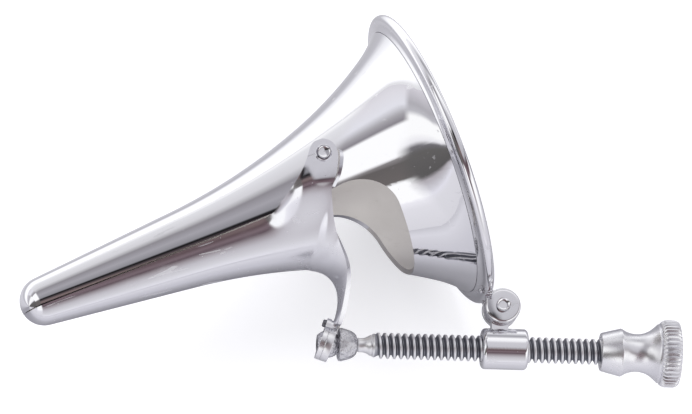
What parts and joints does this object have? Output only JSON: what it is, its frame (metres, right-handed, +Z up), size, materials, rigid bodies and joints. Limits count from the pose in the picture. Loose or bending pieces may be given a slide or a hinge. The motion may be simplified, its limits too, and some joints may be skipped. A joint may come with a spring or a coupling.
{
  "type": "bivalve speculum",
  "caption": "Trumpet-shaped bivalve speculum with a rolled rim, a hinged lower blade on a lever, and a knurled thumbscrew through a swivelling nut that opens the blades.",
  "frame": {"origin": "on the funnel's axis, level with the middle of the rolled rim's bead", "axes": "+X along the funnel's axis from the blades' tips to the mouth, +Y in the plane of symmetry away from the screw, +Z up: the instrument lies on its side, on the rim"},
  "size_m": [0.096, 0.0714, 0.048],
  "materials": {
    "polished_shell": "mirror-polished chrome plate with fine hairline scratches",
    "polished_fittings": "polished chrome plate",
    "cast_joint": "plated over a rough, pitted surface",
    "dark_screw": "dark steel",
    "screw_steel": "grey steel, cut thread",
    "satin_knob": "satin nickel, knurled"
  },
  "bodies": {
    "funnel_body": {"funnel": "polished_shell", "swivel_cheeks": "polished_fittings", "swivel_pin": "polished_fittings", "hinge_rivets": "polished_fittings"},
    "blade_body": {"lower_blade": "polished_shell", "ball_retainer": "cast_joint", "retainer_screw": "dark_screw", "retainer_rivets": "cast_joint"},
    "ball_body": {"swivel_ball": "cast_joint"},
    "screw_body": {"screw": "screw_steel", "knob": "satin_knob"},
    "nut_body": {"swivel_nut": "polished_fittings"}
  },
  "joints": [
    {"name": "blade_hinge", "type": "hinge", "parent": "funnel_body", "child": "blade_body", "pos_m": [-0.0182, 0.0044, 0], "axis": [0, 0, 1], "range_deg": [0, 24]},
    {"name": "ball_swing", "type": "hinge", "parent": "blade_body", "child": "ball_body", "pos_m": [-0.02634, -0.02183, 0], "axis": [0, 0, 1], "range_deg": [-36, 0]},
    {"name": "screw_spin", "type": "hinge", "parent": "ball_body", "child": "screw_body", "pos_m": [-0.02634, -0.02183, 0], "axis": [0.9267, -0.3758, 0], "range_deg": [0, 3977.9]},
    {"name": "nut_travel", "type": "slide", "parent": "ball_body", "child": "nut_body", "axis": [0.9267, -0.3758, 0], "range_m": [-0.0118, 0]}
  ],
  "couplings": [
    {"joint": "ball_swing", "follows": "blade_hinge", "ratio": -1.4813},
    {"joint": "nut_travel", "follows": "blade_hinge", "m_per_rad": -0.027915},
    {"joint": "screw_spin", "follows": "blade_hinge", "ratio": 165.73}
  ]
}
